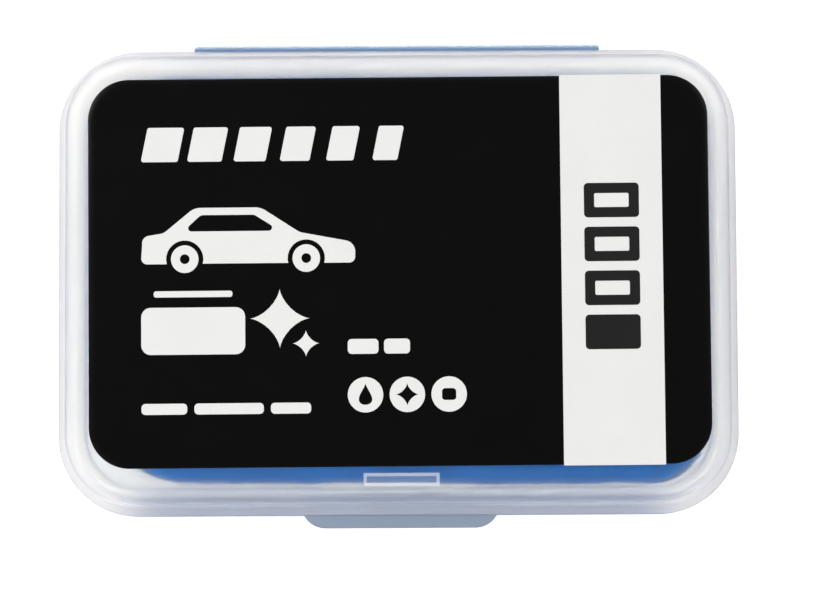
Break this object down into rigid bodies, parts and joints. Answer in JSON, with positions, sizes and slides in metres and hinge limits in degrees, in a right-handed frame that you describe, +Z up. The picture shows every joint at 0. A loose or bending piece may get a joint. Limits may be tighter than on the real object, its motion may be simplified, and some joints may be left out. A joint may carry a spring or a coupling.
{
  "type": "detailing clay bar in a hinged box",
  "caption": "Rectangular bar of blue detailing clay, wrapped in clear film, in a frosted plastic box with a hinged snap lid, a thumb tab and a label on the lid.",
  "frame": {"origin": "centre of the tray's flat underside, which the box rests on", "axes": "+X to the right along the box's long side, seen from the thumb tab; +Y from the thumb tab to the hinge; +Z up through the lid"},
  "size_m": [0.088, 0.0628, 0.0195],
  "materials": {
    "box": "frosted translucent moulded polypropylene",
    "clay": "smooth, slightly waxy, soft plastic clay",
    "film": "clear thin wrapping film",
    "label": "satin printed vinyl",
    "band": "satin printed vinyl"
  },
  "bodies": {
    "base": {"tray": "box", "locating_lip": "box", "catch_bead": "box", "thumb_tab": "box", "living_hinge": "box", "clay_bar": "clay", "clay_film": "film"},
    "cover": {"lid": "box", "catch_nib": "box", "grip_pad": "box", "label": "label", "grade_band": "band"}
  },
  "joints": [
    {"name": "lid_hinge", "type": "hinge", "parent": "base", "child": "cover", "pos_m": [0, 0.03085, 0.01025], "axis": [-1, 0, 0], "range_deg": [0, 180], "deforming": ["living_hinge"]}
  ]
}
